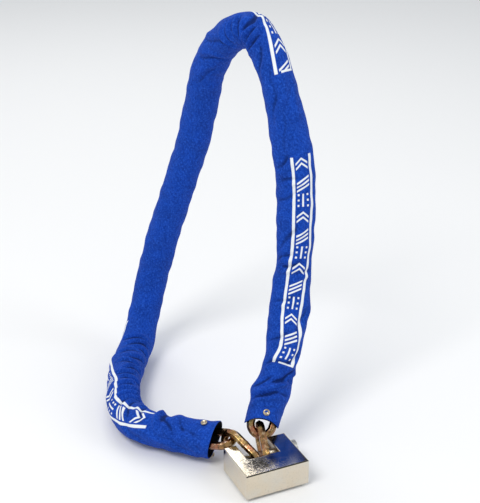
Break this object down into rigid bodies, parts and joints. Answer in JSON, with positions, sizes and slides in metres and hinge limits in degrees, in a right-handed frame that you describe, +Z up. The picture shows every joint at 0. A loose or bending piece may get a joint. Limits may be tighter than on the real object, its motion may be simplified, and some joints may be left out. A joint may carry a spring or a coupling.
{
  "type": "chain lock",
  "caption": "Chain lock: a block padlock whose straight sliding bar hooks both ends of a hexagonal-link chain, in a riveted woven sleeve",
  "frame": {"origin": "just under the top bend of the sleeved chain, where what the chain is looped over carries it", "axes": "+Z up; X along the padlock's long side and its locking bar, towards the bar's head; +Y from the padlock's front face towards its notch and the loop"},
  "size_m": [0.2635, 0.4178, 0.5052],
  "materials": {
    "sleeve_fabric": "blue woven polyester with pale printed lines",
    "chain_plating": "yellow zinc plating, glossy and slightly iridescent",
    "rivet_metal": "plated tubular rivet",
    "lock_plating": "nickel plating over a polished block, with fine wear",
    "bar_steel": "hardened steel, satin",
    "cylinder_brass": "turned brass",
    "seal_rubber": "black rubber ring"
  },
  "bodies": {
    "chain": {"sleeve": "sleeve_fabric", "sleeve_rivet_right": "rivet_metal", "sleeve_rivet_right_cap": "rivet_metal", "sleeve_rivet_left": "rivet_metal", "sleeve_rivet_left_cap": "rivet_metal", "chain_link_01": "chain_plating", "chain_link_02": "chain_plating", "chain_link_03": "chain_plating", "chain_link_04": "chain_plating", "chain_link_05": "chain_plating", "chain_link_06": "chain_plating", "chain_link_07": "chain_plating", "chain_link_08": "chain_plating", "chain_link_09": "chain_plating", "chain_link_10": "chain_plating", "chain_link_11": "chain_plating", "chain_link_12": "chain_plating", "chain_link_13": "chain_plating", "chain_link_14": "chain_plating", "chain_link_15": "chain_plating", "chain_link_16": "chain_plating", "chain_link_17": "chain_plating", "chain_link_18": "chain_plating", "chain_link_19": "chain_plating", "chain_link_20": "chain_plating", "chain_link_21": "chain_plating", "chain_link_22": "chain_plating", "chain_link_23": "chain_plating", "chain_link_24": "chain_plating", "chain_link_25": "chain_plating", "chain_link_26": "chain_plating", "chain_link_27": "chain_plating", "chain_link_28": "chain_plating", "chain_link_29": "chain_plating", "chain_link_30": "chain_plating", "chain_link_31": "chain_plating", "chain_link_32": "chain_plating"},
    "end_links": {"end_link_right": "chain_plating", "end_link_left": "chain_plating"},
    "lock": {"lock_body": "lock_plating"},
    "bar": {"locking_bar": "bar_steel", "head_seal": "seal_rubber", "cylinder_collar": "bar_steel"},
    "plug": {"cylinder_core": "cylinder_brass", "drill_guard": "bar_steel", "locking_cam": "bar_steel", "side_bar": "cylinder_brass", "disc_1": "cylinder_brass", "disc_2": "cylinder_brass", "disc_3": "cylinder_brass", "disc_4": "cylinder_brass", "disc_5": "cylinder_brass", "disc_6": "cylinder_brass"}
  },
  "joints": [
    {"name": "end_links_swing", "type": "hinge", "parent": "chain", "child": "end_links", "pos_m": [-0.08636, -0.16061, -0.42665], "axis": [-0.9993, -0.0365, 0], "range_deg": [0, 6]},
    {"name": "lock_tilt", "type": "hinge", "parent": "end_links", "child": "lock", "pos_m": [-0.0844, -0.1855, -0.439], "axis": [-1, 0, 0], "range_deg": [0, 45]},
    {"name": "bar_slide", "type": "slide", "parent": "lock", "child": "bar", "axis": [1, 0, 0], "range_m": [0, 0.0525]},
    {"name": "key_turn", "type": "hinge", "parent": "bar", "child": "plug", "pos_m": [-0.0844, -0.1855, -0.439], "axis": [1, 0, 0], "range_deg": [0, 90]}
  ]
}
